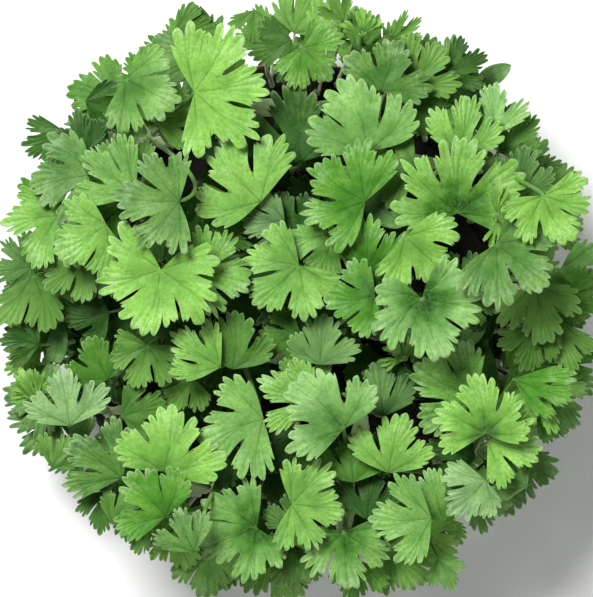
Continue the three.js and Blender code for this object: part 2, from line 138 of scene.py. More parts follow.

# Leaves of the second tier, from the highest to the lowest: base x, base y, heading, length,
# half spread, tone. Each one finds its height just under the leaves that cover it.
# A 'deep' tone here is painted shade for a leaf low in the canopy.
SECOND_TIER = [
    (-46, 8.5, 232, 10, 80, "light"), (50.5, 3, 280, 13, 82, "light"),
    (5, -14, 86, 10.5, 84, "pale"), (-13.5, -15, 83, 11.5, 76, "mid"),
    (-31.5, -10, 252, 9.5, 104, "light"), (25, 28, 172, 11.5, 84, "light"),
    (-2.5, 16.5, 188, 8.5, 92, "frost"), (-30, 38, 4, 10.5, 66, "light"),
    (46.5, 20.5, 80, 12, 66, "grey"), (24.5, 45.5, 48, 11, 78, "light"),
    (25, -7.5, 186, 7.5, 104, "soft"), (2, -19, 96, 8.5, 66, "light"),
    (18.5, -25, 97, 11, 74, "grey"), (-36, 24.5, 92, 11, 52, "light"),
    (-19.5, 17, 322, 11, 40, "vivid"), (-20.5, 18.5, 272, 11.5, 42, "mid"),
    (-13, 21.5, 218, 9.5, 66, "soft"), (1, -8, 190, 9.5, 84, "vivid"),
    (-39, 8.5, 236, 9.8, 74, "frost"), (-36, 20, 192, 10.5, 66, "vivid"),
    (-56, 5, 292, 13, 84, "light"), (1, 29, 97, 17, 80, "deep"),
    (0, 13, 112, 11, 60, "deep"), (-8, 39, 214, 10, 76, "dull"),
    (-1, 55, 206, 9.5, 84, "dull"), (23, 41, 6, 9.5, 76, "mid"),
    (43, 31, 42, 11, 62, "mid"), (34.5, 1.5, 62, 9.5, 80, "dull"),
    (36.5, 0, 342, 7, 66, "light"), (51, -6, 258, 9.5, 76, "mid"),
    (56.5, -5, 274, 10.5, 62, "light"), (58.5, 3, 210, 7, 76, "light"),
    (37, -24.5, 188, 9.5, 76, "mid"), (38, -34, 162, 11.5, 66, "deep"),
    (12, -39, 94, 10.5, 76, "vivid"), (15, -47, 86, 11.5, 66, "deep"),
    (0, -48, 166, 8, 84, "dull"), (-1, -52, 256, 9.5, 76, "dull"),
    (-40, -17, 118, 10, 96, "vivid"), (-37, -25, 16, 9.5, 76, "mid"),
    (-40, -3, 190, 10, 76, "deep"), (-15, -31, 262, 10, 76, "deep"),
    (-27, 15, 236, 9, 66, "deep"), (-45, 31, 98, 9, 66, "deep"),
    (-45, 42, 350, 9.5, 66, "deep"), (-52, -36, 58, 8, 66, "light"),
    (-55, -22, 118, 8, 42, "bright"), (-39, -48, 60, 8, 66, "light"),
    (-40, -41, 250, 9, 66, "dull"), (49, -40, 148, 8, 66, "pale"),
    (-9, 61.5, 268, 7, 76, "light"), (10, 59, 120, 7, 60, "light"),
    (20, 55, 30, 8, 40, "bright"), (13, 52, 60, 9, 60, "mid"),
    (32, 48, 20, 9, 66, "deep"), (-26, 56, 10, 9, 76, "mid"),
    (-17, 58, 200, 8, 76, "deep"), (-50, 36, 220, 9, 76, "dull"),
    (-55, -10, 160, 8, 76, "deep"), (30, -55, 300, 7, 66, "soft"),
    (22, -14, 250, 9, 80, "dull"), (-22, -17, 230, 8, 90, "light"),
]

# Seed leaf pairs: crown x, y, z, heading, length, width.
SEED_LEAVES = [
    (15, 21.5, 50.5, 322, 10, 6.4), (-44, 31, 40, 95, 9, 4.5), (-22, -18, 41, 20, 8, 4.2),
    (36, -10, 40, 60, 9, 4.4), (-5, -36, 39, 140, 9, 4.6), (39, 46, 37, 30, 8, 4.2),
    (-52, -14, 36, 80, 9, 4.4), (26, 52, 38, 150, 8, 4.2), (-30, 8, 40, 250, 8, 4.2),
]

# Young fronds: x, y, z, headings of the leaflets (the middle one first), length.
YOUNG_FRONDS = [
    (42, 17, 62.5, (88, 45, 262), 7.5), (14, 55.5, 56, (90, 40, 150), 5.5),
    (-55, -21, 50, (120, 70, 175), 6.5), (23, -13, 52, (130, 80, 190), 5.5),
]

# Tones: sRGB of the blade, measured under even light; 'deep' is painted shade, for leaves low in the
# canopy.
TONES = {
    "bright": (150, 210, 88),
    "light": (136, 194, 84),
    "soft": (130, 184, 92),
    "pale": (148, 200, 116),
    "frost": (146, 184, 124),
    "mid": (104, 162, 58),
    "vivid": (90, 158, 34),
    "dull": (76, 126, 46),
    "grey": (102, 148, 76),
    "deep": (42, 90, 18),
}


def linear(rgb):
    """sRGB 0-255 to a linear colour with alpha."""
    scaled = [c / 255 for c in rgb]
    return tuple(c / 12.92 if c <= 0.04045 else ((c + 0.055) / 1.055) ** 2.4 for c in scaled) + (1.0,)


def blended(first, second, share):
    return tuple(a + (b - a) * share for a, b in zip(first, second))


def smooth(value, low, high):
    t = np.clip((value - low) / (high - low), 0, 1)
    return t * t * (3 - 2 * t)


# ---- node helpers -------------------------------------------------------------------------
class Nodes:
    """A short way to lay out a material's nodes."""

    def __init__(self, name):
        self.material = bpy.data.materials.new(name)
        self.material.use_nodes = True
        self.tree = self.material.node_tree
        self.tree.nodes.clear()

    def add(self, kind, settings=None, **inputs):
        node = self.tree.nodes.new(kind)
        for key, value in (settings or {}).items():
            setattr(node, key, value)
        for key, value in inputs.items():
            self.feed(node, key.replace("_", " "), value)
        return node

    def feed(self, node, socket, value):
        target = node.inputs[int(socket)] if socket.isdigit() else node.inputs[socket]
        if isinstance(value, bpy.types.NodeSocket):
            self.tree.links.new(value, target)
        else:
            target.default_value = value

    def attribute(self, name):
        return self.add("ShaderNodeAttribute", {"attribute_name": name}).outputs["Fac"]

    def math(self, operation, first, second=0.0):
        node = self.add("ShaderNodeMath", {"operation": operation})
        self.feed(node, "0", first)
        self.feed(node, "1", second)
        return node.outputs[0]

    def span(self, value, low, high, start=0.0, end=1.0):
        node = self.add("ShaderNodeMapRange", {"interpolation_type": "SMOOTHSTEP"})
        for socket, item in zip(("0", "1", "2", "3", "4"), (value, low, high, start, end)):
            self.feed(node, socket, item)
        return node.outputs[0]

    def mix(self, share, first, second, kind="MIX"):
        node = self.add("ShaderNodeMix", {"data_type": "RGBA", "blend_type": kind})
        self.feed(node, "0", share)
        self.feed(node, "6", first)
        self.feed(node, "7", second)
        return node.outputs[2]

    def noise(self, scale, detail=2.0, roughness=0.5, distortion=0.0, stretch=(1, 1, 1)):
        place = self.add("ShaderNodeTexCoord").outputs["Object"]
        mapping = self.add("ShaderNodeMapping", Vector=place, Scale=stretch)
        node = self.add("ShaderNodeTexNoise", Vector=mapping.outputs[0], Scale=scale,
                        Detail=detail, Roughness=roughness, Distortion=distortion)
        return node.outputs["Fac"]

    def cells(self, scale):
        place = self.add("ShaderNodeTexCoord").outputs["Object"]
        node = self.add("ShaderNodeTexVoronoi", {"feature": "DISTANCE_TO_EDGE"}, Vector=place,
                        Scale=scale)
        return node.outputs["Distance"]

    def bump(self, height, strength, distance, normal=None):
        node = self.add("ShaderNodeBump", Height=height, Strength=strength, Distance=distance)
        if normal is not None:
            self.feed(node, "Normal", normal)
        return node.outputs[0]

    def finish(self, shader):
        output = self.add("ShaderNodeOutputMaterial")
        self.tree.links.new(shader, output.inputs["Surface"])
        return self.material


# ---- materials ----------------------------------------------------------------------------
def leaf_material(tone):
    """A leaf skin: mottled green, darker at the base by its own colour and painted shade, fine veins,
    painted sheen on the outer parts, painted shade on the lower tiers, and a painted highlight on the thin
    rim.
    """
    n = Nodes("leaf_" + tone)
    base = linear(TONES[tone])
    rich = linear((54, 116, 14))
    warm = blended(base, linear((178, 226, 118)), 0.22)
    cool = blended(base, linear((74, 124, 62)), 0.30)
    patches = n.noise(150, 3, 0.55)
    colour = n.mix(n.span(patches, 0.36, 0.64), cool, warm)
    reach = n.attribute("leaf_reach")
    # Painted sheen: a whitish highlight on the outer parts of the blade, faded on leaves in painted shade.
    painted_sheen = n.math("MULTIPLY", n.span(reach, 0.35, 0.95), n.span(n.noise(320, 4, 0.6), 0.42, 0.68))
    painted_sheen = n.math("MULTIPLY", painted_sheen, n.span(n.attribute("leaf_painted_shade"), 0.0, 0.5, 1.0, 0.2))
    colour = n.mix(n.math("MULTIPLY", painted_sheen, 0.62), colour, blended(base, linear((206, 232, 184)), 0.62))
    # The heart and throat darken the base: the leaf's own deeper green together with painted shade in the
    # cup, as strong as leaf_heart says.
    spread = n.math("ADD", reach, n.span(n.noise(260, 3, 0.6), 0.3, 0.7, -0.12, 0.12))
    shade = n.attribute("leaf_heart")
    heart = n.math("MULTIPLY", n.math("MULTIPLY", n.span(spread, 0.80, 0.18), 0.85), shade)
    colour = n.mix(heart, colour, blended(base, rich, 0.95))
    throat_pigment_and_shade = n.math("MULTIPLY", n.math("MULTIPLY", n.span(spread, 0.40, 0.0), 0.9), shade)
    colour = n.mix(throat_pigment_and_shade, colour, linear((26, 76, 8)))
    # Painted shade: leaves lower in the canopy are mixed toward a dark saturated green.
    colour = n.mix(n.attribute("leaf_painted_shade"), colour, linear((18, 58, 8)))
    grain = n.noise(1500, 3, 0.6)
    colour = n.mix(n.math("MULTIPLY", n.span(grain, 0.44, 0.60), 0.34), colour,
                   blended(base, linear((30, 78, 12)), 0.62))
    vein = n.attribute("leaf_vein")
    line = n.math("MULTIPLY", n.span(vein, 0.17, 0.03), 0.55)
    colour = n.mix(line, colour, (0.50, 0.62, 0.36, 1), "MULTIPLY")
    main = n.attribute("leaf_main")
    midrib = n.math("MULTIPLY", n.span(main, 0.20, 0.05), n.span(reach, 0.8, 0.15, 0.0, 0.42))
    colour = n.mix(midrib, colour, (0.46, 0.58, 0.32, 1), "MULTIPLY")
    # Painted highlight: a pale line along the rim of the blade.
    rim = n.math("MULTIPLY", n.span(n.attribute("leaf_rim"), 0.955, 0.995), 0.36)
    colour = n.mix(rim, colour, blended(base, linear((208, 232, 180)), 0.66))
    ribs = n.bump(n.span(vein, 0.0, 0.35), 0.3, 0.00015)
    net = n.bump(n.span(n.cells(900), 0.0, 0.12), 0.25, 0.00006, ribs)
    quilt = n.bump(n.noise(620, 3, 0.6), 0.55, 0.00035, net)
    skin = n.bump(n.noise(4200, 2, 0.6), 0.25, 0.00005, quilt)
    rough = n.span(grain, 0.3, 0.7, 0.46, 0.60)
    shader = n.add("ShaderNodeBsdfPrincipled", Base_Color=colour, Roughness=rough, Normal=skin)
    shader.inputs["Specular IOR Level"].default_value = 0.20
    glow = n.add("ShaderNodeBsdfTranslucent", Color=n.mix(0.5, colour, linear((150, 222, 30))),
                 Normal=skin)
    both = n.add("ShaderNodeMixShader")
    both.inputs[0].default_value = 0.17
    n.tree.links.new(shader.outputs[0], both.inputs[1])
    n.tree.links.new(glow.outputs[0], both.inputs[2])
    return n.finish(both.outputs[0])


def stem_material():
    """Juicy pale stems, whitish at the foot, greener above, with fine lengthwise ribs."""
    n = Nodes("stem_skin")
    place = n.add("ShaderNodeTexCoord").outputs["Object"]
    height = n.add("ShaderNodeSeparateXYZ", Vector=place).outputs["Z"]
    colour = n.mix(n.span(height, 0.018, 0.050), linear((222, 228, 192)), linear((84, 134, 48)))
    streaks = n.noise(900, 2, 0.5, 0.0, (1, 1, 0.12))
    colour = n.mix(n.math("MULTIPLY", n.span(streaks, 0.4, 0.65), 0.35), colour,
                   linear((106, 150, 58)))
    colour = n.mix(n.math("MULTIPLY", n.span(n.noise(120), 0.5, 0.7), 0.22), colour,
                   linear((176, 138, 128)))
    normal = n.bump(streaks, 0.3, 0.0001)
    shader = n.add("ShaderNodeBsdfPrincipled", Base_Color=colour, Roughness=0.42, Normal=normal)
    shader.inputs["Subsurface Weight"].default_value = 0.12
    shader.inputs["Subsurface Radius"].default_value = (0.0012, 0.0012, 0.0004)
    return n.finish(shader.outputs[0])


def soil_material():
    """Damp crumbly coir and peat: near black, with brown fibres and crumbs."""
    n = Nodes("damp_coir")
    coarse = n.noise(420, 5, 0.65)
    colour = n.mix(n.span(coarse, 0.35, 0.66), linear((8, 9, 5)), linear((27, 22, 14)))
    fibre = n.noise(1600, 3, 0.6, 0.6, (1, 0.2, 1))
    colour = n.mix(n.math("MULTIPLY", n.span(fibre, 0.55, 0.7), 0.5), colour,
                   linear((50, 40, 26)))
    normal = n.bump(coarse, 0.8, 0.0008)
    normal = n.bump(n.noise(3000, 3, 0.7), 0.6, 0.0002, normal)
    shader = n.add("ShaderNodeBsdfPrincipled", Base_Color=colour, Normal=normal,
                   Roughness=n.span(coarse, 0.3, 0.7, 0.72, 0.95))
    return n.finish(shader.outputs[0])


def root_material():
    """White root hairs, a little stained by the medium."""
    n = Nodes("root_hair")
    stain = n.noise(260, 4, 0.6)
    colour = n.mix(n.span(stain, 0.4, 0.68), linear((228, 221, 200)), linear((158, 134, 100)))
    fibres = n.noise(2200, 3, 0.6, 0.4, (1, 1, 0.3))
    normal = n.bump(fibres, 0.6, 0.0002)
    shader = n.add("ShaderNodeBsdfPrincipled", Base_Color=colour, Normal=normal, Roughness=0.78)
    return n.finish(shader.outputs[0])


def husk_material():
    """The split seed husk: dry ribbed straw brown."""
    n = Nodes("seed_husk")
    grain = n.noise(1800, 3, 0.6, 0.0, (1, 1, 0.25))
    colour = n.mix(grain, linear((150, 116, 70)), linear((196, 164, 112)))
    shader = n.add("ShaderNodeBsdfPrincipled", Base_Color=colour, Roughness=0.7,
                   Normal=n.bump(grain, 0.5, 0.0002))
    return n.finish(shader.outputs[0])


def floor_material():
    n = Nodes("pale_floor")
    colour = n.mix(n.span(n.noise(9, 3), 0.3, 0.7), (0.93, 0.93, 0.93, 1), (0.96, 0.96, 0.96, 1))
    shader = n.add("ShaderNodeBsdfPrincipled", Base_Color=colour, Roughness=0.8)
    return n.finish(shader.outputs[0])


LEAF_SKINS = {tone: leaf_material(tone) for tone in TONES}
STEM_SKIN = stem_material()
SOIL = soil_material()
ROOTS = root_material()
HUSK = husk_material()


# ---- mesh helpers -------------------------------------------------------------------------
LEAF_VALUES = ("leaf_reach", "leaf_rim", "leaf_vein", "leaf_main", "leaf_painted_shade", "leaf_heart")


class Batch:
    """Vertices, faces and leaf attributes gathered for one piece."""

    def __init__(self):
        self.points = []
        self.faces = []
        self.slots = []
        self.values = {name: [] for name in LEAF_VALUES}
        self.count = 0

    def add(self, points, faces, slot=0, values=None):
        self.points.append(np.asarray(points, float))
        self.faces += [tuple(i + self.count for i in face) for face in faces]
        self.slots += [slot] * len(faces)
        for name, rows in self.values.items():
            rows.append(np.zeros(len(points)) if values is None else values[name])
        self.count += len(points)

    def build(self, name, materials, slot_name):
        mesh = bpy.data.meshes.new(name)
        points = np.concatenate(self.points) * MM
        mesh.from_pydata(points.tolist(), [], self.faces)
        for material in materials:
            mesh.materials.append(material)
        mesh.polygons.foreach_set("material_index", self.slots)
        for key, rows in self.values.items():
            layer = mesh.attributes.new(key, "FLOAT", "POINT")
            layer.data.foreach_set("value", np.concatenate(rows).astype(np.float32))
        mesh.shade_smooth()
        piece = bpy.data.objects.new(name, mesh)
        bpy.context.scene.collection.objects.link(piece)
        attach(piece, "root")
        return piece


def tube(batch, path, radii, sides=8, slot=0):
    """A closed round tube along a list of points, in mm."""
    path = np.asarray(path, float)
    radii = np.broadcast_to(radii, len(path))
    ahead = np.gradient(path, axis=0)
    ahead /= np.linalg.norm(ahead, axis=1)[:, None]
    side = np.cross(ahead[0], (0.3, 1.0, 0.1))
    points, faces = [], []
    for k, (centre, direction, radius) in enumerate(zip(path, ahead, radii)):
        side = side - direction * side.dot(direction)
        side /= np.linalg.norm(side)
        other = np.cross(direction, side)
        for j in range(sides):
            turn = 2 * math.pi * j / sides
            points.append(centre + radius * (math.cos(turn) * side + math.sin(turn) * other))
        if k:
            low, high = (k - 1) * sides, k * sides
            faces += [(low + j, low + (j + 1) % sides, high + (j + 1) % sides, high + j)
                      for j in range(sides)]
    faces.append(tuple(reversed(range(sides))))
    last = (len(path) - 1) * sides
    faces.append(tuple(last + j for j in range(sides)))
    batch.add(points, faces, slot)


def bezier(start, first, second, end, steps):
    t = np.linspace(0, 1, steps)[:, None]
    start, first, second, end = (np.asarray(p, float) for p in (start, first, second, end))
    return ((1 - t) ** 3 * start + 3 * t * (1 - t) ** 2 * first
            + 3 * t ** 2 * (1 - t) * second + t ** 3 * end)


# ---- leaf blades --------------------------------------------------------------------------
FINE_ROWS = np.array([0.08, 0.2, 0.33, 0.46, 0.58, 0.69, 0.79, 0.88, 0.95, 1.0])
COARSE_ROWS = np.array([0.15, 0.45, 0.75, 1.0])
FINE_TOOTH = [0, 0.06, 0.18, 0.34, 0.5, 0.66, 0.82, 0.94]
COARSE_TOOTH = [0, 0.22, 0.5, 0.78]
# How the outline climbs out of a slit: share of the tooth's width, share of the slit's depth.
SLIT_SIDE = [(0, 0), (0.014, 0.16), (0.030, 0.34), (0.050, 0.54), (0.078, 0.73), (0.12, 0.87),
             (0.20, 0.96)]
# Lobes of a leaf: edges as shares of the half spread, then the teeth in each group of a lobe.
THREE_LOBES = ([-1, -0.36, 0.36, 1], [(2, 2, 2), (2, 3, 2), (2, 2, 2)])
FIVE_LOBES = ([-1, -0.66, -0.25, 0.25, 0.66, 1], [(2, 2), (2, 1, 2), (2, 3, 2), (2, 1, 2), (2, 2)])
# How the outer margin of a leaf sweeps from its base out to the first tooth.
MARGIN_SIDE = [(0, 0), (0.04, 0.16), (0.10, 0.34), (0.19, 0.52), (0.30, 0.70), (0.42, 0.86)]
HEART_REACH = 0.10
SIDE_SHORTENING = 0.25
WIDE_LEAF = 100
# A five-lobed leaf wraps its margins a little further round the petiole than its CAD outline.
WRAP_ROUND = 1.07


class Shape:
    """The outline of one leaf in polar form: an angle and a radius for each column of its mesh."""

    def __init__(self, length, half_spread, chance, fine=True):
        if half_spread > WIDE_LEAF:
            half_spread *= WRAP_ROUND
        self.length = length
        self.half_spread = half_spread
        edges, groups = FIVE_LOBES if half_spread > WIDE_LEAF else THREE_LOBES
        edges = [e + (chance.uniform(-0.04, 0.04) if abs(e) < 1 else 0) for e in edges]
        lobes = len(groups)
        roots = [HEART_REACH] + [self.slit_root(e, chance) for e in edges[1:-1]] + [HEART_REACH]
        lean = chance.uniform(-0.09, 0.09)
        columns = []
        for lobe, counts in enumerate(groups):
            start, width = edges[lobe], edges[lobe + 1] - edges[lobe]
            tall = chance.uniform(0.93, 1.04)
            notches = self.notches(counts, chance)
            notches[0], notches[-1] = None, None
            count = sum(counts)
            weights = chance.uniform(0.6, 1.4, count)
            marks = start + width * np.concatenate([[0], np.cumsum(weights) / weights.sum()])
            for tooth in range(count):
                a, b = marks[tooth], marks[tooth + 1]
                centre = (a + b) / 2
                within = abs((centre - start) / width * 2 - 1)
                shorter = SIDE_SHORTENING + (lean if centre > 0 else -lean)
                tip = length * tall * (1 - shorter * centre ** 2) * (1 - 0.26 * within ** 2)
                tip *= chance.uniform(0.94, 1.04)
                left = roots[lobe] * length if notches[tooth] is None else tip * notches[tooth]
                after = notches[tooth + 1]
                right = roots[lobe + 1] * length if after is None else tip * after
                left_side = self.side(notches[tooth], lobe == 0)
                right_side = self.side(after, lobe == lobes - 1)
                for s, rise in self.climb(left_side, right_side, fine):
                    low = left if s < 0.5 else right
                    columns.append((a + (b - a) * s, low + (tip - low) * rise, lobe, centre))
        share, self.radius, lobe_of, tooth = (np.array(c) for c in zip(*columns))
        self.lobe = lobe_of.astype(int)
        self.angle = share * half_spread
        middles = np.array([(edges[k] + edges[k + 1]) / 2 for k in range(lobes)])
        halves = np.array([(edges[k + 1] - edges[k]) / 2 for k in range(lobes)])
        self.lobe_centre = middles[self.lobe] * half_spread
        self.across = (share - middles[self.lobe]) / halves[self.lobe]
        self.veins = [np.unique(tooth[self.lobe == k]) * half_spread for k in range(lobes)]
        self.left_root = np.array(roots[:-1])[self.lobe]
        self.right_root = np.array(roots[1:])[self.lobe]
        gape = chance.uniform(0.034, 0.064, lobes + 1)
        mouth = chance.uniform(-0.04, 0.012, lobes + 1)
        gape[0] = gape[-1] = mouth[0] = mouth[-1] = 0
        self.left_gape, self.right_gape = gape[:-1][self.lobe], gape[1:][self.lobe]
        self.left_mouth, self.right_mouth = mouth[:-1][self.lobe], mouth[1:][self.lobe]

    @staticmethod
    def slit_root(edge, chance):
        return chance.uniform(0.34, 0.48) if abs(edge) < 0.5 else chance.uniform(0.50, 0.62)

    @staticmethod
    def notches(counts, chance):
        """How deep each notch is, as a share of the tooth: deeper between groups of teeth."""
        depths = [0.8]
        for count in counts:
            between = chance.uniform(0.70, 0.76) if chance.random() < 0.3 else chance.uniform(0.80, 0.87)
            depths += list(chance.uniform(0.90, 0.945, count - 1)) + [between]
        return depths

    @staticmethod
    def side(notch, outermost):
        """How the outline climbs beside a tooth, where there's a slit or the leaf ends."""
        if notch is not None:
            return None
        return MARGIN_SIDE if outermost else SLIT_SIDE

    @staticmethod
    def climb(left_side, right_side, fine):
        """Places across a tooth and how high the outline stands there, 0 in the notch to 1."""
        tooth = FINE_TOOTH if fine else COARSE_TOOTH
        skip = 1 if fine else 3
        blunt = [(s, math.sin(math.pi * s) ** 0.7 * 0.76 + 0.24 * (1 - abs(2 * s - 1))) for s in tooth]
        left = [p for p in blunt if p[0] <= 0.5]
        right = [p for p in blunt if p[0] > 0.5]
        if left_side:
            left = left_side[::skip] + [p for p in left if p[0] > left_side[-1][0] + 0.05]
        if right_side:
            right = ([p for p in right if p[0] < 0.95 - right_side[-1][0]]
                     + [(1 - s, r) for s, r in right_side[:0:-skip]])
        return left + right

    def slit_shift(self, reach):
        """How far, as a share of the length, the side of a lobe is drawn back from its slit."""
        out = np.zeros_like(reach)
        for sign, root, gape, mouth in ((-1, self.left_root, self.left_gape, self.left_mouth),
                                        (1, self.right_root, self.right_gape, self.right_mouth)):
            along = np.clip((reach - root[:, None]) / (0.92 - root[:, None]), 0, 1)
            lens = 1.15 * np.sqrt(along) * (1 - along) ** 0.8 * 1.4
            side = np.clip(sign * self.across, 0, 1)[:, None] ** 1.6
            out -= sign * side * (gape[:, None] * lens + mouth[:, None] * along)
        return out

    def vein_gap(self, degrees, radius):
        """Distance in mm to the nearest vein: a midrib in each lobe, forking to every tooth."""
        reach = radius / self.length
        gaps = np.full(radius.shape, 9.0)
        for lobe, teeth in enumerate(self.veins):
            rows = self.lobe == lobe
            middle = self.lobe_centre[rows][0]
            fork = smooth(reach[rows], 0.16, 0.72)
            for target in list(teeth) + [middle]:
                line = middle + (target - middle) * fork
                gap = np.abs(np.radians(degrees[rows] - line)) * radius[rows]
                gaps[rows] = np.minimum(gaps[rows], gap)
        return gaps

    def reach(self, degrees):
        """The outline's radius at some angles, for finding what lies over what."""
        return np.interp(degrees, self.angle, self.radius, left=0, right=0)


class Leaf:
    """A leaf's place and its surface."""

    def __init__(self, x, y, heading, length, half_spread, lift, roll, tone, cup, seed, fine=True):
        self.chance = np.random.default_rng(seed)
        self.shape = Shape(length, half_spread, self.chance, fine)
        self.rows = FINE_ROWS if fine else COARSE_ROWS
        self.tone = tone
        self.cup = cup
        self.base = np.array([x, y, 0.0])
        turn = (Matrix.Rotation(math.radians(heading), 3, "Z")
                @ Matrix.Rotation(-math.radians(lift), 3, "Y")
                @ Matrix.Rotation(math.radians(roll), 3, "X"))
        self.turn = np.array(turn)
        self.normal = self.turn[:, 2]
        self.along = self.turn[:, 0]

    def plane_height(self, xy):
        offset = xy - self.base[:2]
        return self.base[2] - (offset @ self.normal[:2]) / self.normal[2]

    def covers(self, xy):
        """Which points of the plan this leaf lies over."""
        offset = xy - self.base[:2]
        local = offset @ self.turn[:2, :2]
        degrees = np.degrees(np.arctan2(local[:, 1], local[:, 0]))
        return np.hypot(local[:, 0], local[:, 1]) < self.shape.reach(degrees) + 0.6

    def plan_points(self):
        shape = self.shape
        angle = np.radians(shape.angle[::3])
        rays = np.stack([np.cos(angle), np.sin(angle)], 1) * shape.radius[::3, None]
        spread = np.concatenate([rays * part for part in (0.12, 0.4, 0.7, 1.0)])
        return self.base[:2] + spread @ self.turn[:2, :2].T

    def surface(self):
        """Columns by rows of points in mm, and the attributes that the skin reads."""
        shape, chance = self.shape, self.chance
        length = shape.length
        part = self.rows[None, :]
        radius = shape.radius[:, None] * part
        reach = radius / length
        lobes = int(shape.lobe.max()) + 1
        degrees = shape.angle[:, None] + 0 * part
        drift = chance.uniform(-6, 6) + chance.uniform(-4, 4, lobes)[shape.lobe][:, None]
        turn = np.radians(degrees + drift * smooth(reach, 0.3, 1.0))
        turn = turn + shape.slit_shift(reach) / np.maximum(reach, 0.15)
        across = shape.across[:, None] + 0 * part
        height = self.cup * (smooth(reach, 0.05, 0.9) - 0.5)
        hinge = chance.uniform(-0.75, 0.75, lobes)[shape.lobe][:, None]
        height = height + hinge * smooth(reach, 0.35, 1.0)
        fold = chance.uniform(-0.5, 0.9, lobes)[shape.lobe][:, None]
        height = height + fold * (across ** 2 - 0.35) * smooth(reach, 0.1, 0.8)
        step = np.where(shape.lobe % 2 == 0, 1, -1)[:, None] * 0.2
        height = height + step * smooth(reach, 0.6, 0.95)
        gap = shape.vein_gap(degrees, radius)
        height = height + 0.19 * (smooth(gap, 0.0, 0.8) - 0.6) * smooth(reach, 0.1, 0.45)
        waves = sum(chance.uniform(-0.28, 0.28) * np.sin(k * turn + chance.uniform(0, 6.3))
                    for k in (1, 2, 3, 5, 9))
        height = height + waves * reach ** 1.4
        height = height + chance.uniform(-0.9, 0.1) * smooth(reach, 0.72, 1.05)
        points = np.stack([radius * np.cos(turn), radius * np.sin(turn), height], -1)
        values = {
            "leaf_reach": reach,
            "leaf_rim": part + 0 * reach,
            "leaf_vein": gap,
            "leaf_main": np.abs(np.radians(degrees - shape.lobe_centre[:, None])) * radius,
        }
        return points, values

    def add_to(self, batch, depth, slot=0, heart_shade=0.4):
        """Adds the closed blade, its underside with fewer rows, and returns its base point."""
        grid, values = self.surface()
        values["leaf_painted_shade"] = np.full(grid.shape[:2], depth)
        values["leaf_heart"] = np.full(grid.shape[:2], heart_shade)
        columns, rows = grid.shape[:2]
        under_rows = list(range((rows - 1) % 3, rows, 3))
        top = grid.reshape(-1, 3)
        low = grid[:, under_rows].reshape(-1, 3) - np.array([0, 0, BLADE_THICKNESS])
        hearts = np.array([[0, 0, -0.5 * self.cup], [0, 0, -0.5 * self.cup - BLADE_THICKNESS]])
        world = self.base + np.concatenate([top, low, hearts]) @ self.turn.T
        first_low = columns * rows
        n_low = len(under_rows)
        heart = len(world) - 2
        faces = []
        for i in range(columns - 1):
            a, b = i * rows, (i + 1) * rows
            faces += [(a + j, a + j + 1, b + j + 1, b + j) for j in range(rows - 1)]
            faces.append((heart, a, b))
            c, d = first_low + i * n_low, first_low + (i + 1) * n_low
            faces += [(c + j, d + j, d + j + 1, c + j + 1) for j in range(n_low - 1)]
            faces.append((heart + 1, d, c))
            faces.append((a + rows - 1, c + n_low - 1, d + n_low - 1, b + rows - 1))
        last_top, last_low = (columns - 1) * rows, first_low + (columns - 1) * n_low
        faces.append((heart, heart + 1, *range(first_low, first_low + n_low),
                      *range(rows - 1, -1, -1)))
        faces.append((heart, *range(last_top, last_top + rows),
                      *range(last_low + n_low - 1, last_low - 1, -1), heart + 1))
        both = {key: np.concatenate([value.reshape(-1), value[:, under_rows].reshape(-1), [0, 0]])
                for key, value in values.items()}
        batch.add(world, faces, slot, both)
        return self.base + np.array([0, 0, -0.5 * self.cup]) @ self.turn.T


# ---- CAD leaves ---------------------------------------------------------------------------
def blade_plane(node):
    """A point on the top face of the CAD blade, and the way that it faces."""
    mesh = node.data
    areas = {}
    for face in mesh.polygons:
        if face.normal.z > 0.5:
            key = tuple(round(c, 2) for c in face.normal)
            areas.setdefault(key, []).append(face)
    best = max(areas.values(), key=lambda faces: sum(face.area for face in faces))
    return np.array(best[0].center) / MM, np.array(best[0].normal)


def petiole_path(node, point, normal):
    """The middle line of the CAD petiole, from its foot up to just under the blade."""
    places = np.array([v.co for v in node.data.vertices]) / MM
    low = places[(places - point) @ normal < -1.4]
    low = low[np.argsort(low[:, 2])]
    rings, ring = [], [low[0]]
    for place in low[1:]:
        if place[2] - ring[-1][2] > 0.7 and len(ring) >= 4:
            rings.append(np.mean(ring, axis=0))
            ring = []
        ring.append(place)
    rings.append(np.mean(ring, axis=0))
    return rings


def smooth_path(points, steps):
    """A soft curve through the given points."""
    points = np.asarray(points, float)
    where = np.linspace(0, len(points) - 1, len(points))
    fine = np.linspace(0, len(points) - 1, steps)
    line = np.stack([np.interp(fine, where, points[:, k]) for k in range(3)], 1)
    for _ in range(3):
        line[1:-1] = (line[:-2] + 2 * line[1:-1] + line[2:]) / 4
    return line


def make_cad_leaf(index, row):
    name = f"leaf_{index + 1:02d}"
    leaf = Leaf(*row, seed=100 + index)
    point, normal = blade_plane(nodes[name])
    leaf.base[2] = point[2] - (leaf.base[:2] - point[:2]) @ normal[:2] / normal[2]
    batch = Batch()
    heart = leaf.add_to(batch, TOP_TIER_SHADE, 0, HEART_PIGMENT_AND_SHADE.get(index + 1, 0.3))
    path = petiole_path(nodes[name], point, normal)
    path += [heart - leaf.normal * 0.95 - leaf.along * 0.1, heart - leaf.normal * 0.46 + leaf.along * 0.9]
    line = smooth_path(path, 22)
    radii = np.interp(np.linspace(0, 1, len(line)), [0, 0.1, 0.85, 1], [0.66, 0.52, 0.42, 0.24])
    tube(batch, line, radii, 8, 1)
    piece = batch.build("blade_" + name, [LEAF_SKINS[leaf.tone], STEM_SKIN], "leaf_green")
    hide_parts(name)
    return leaf


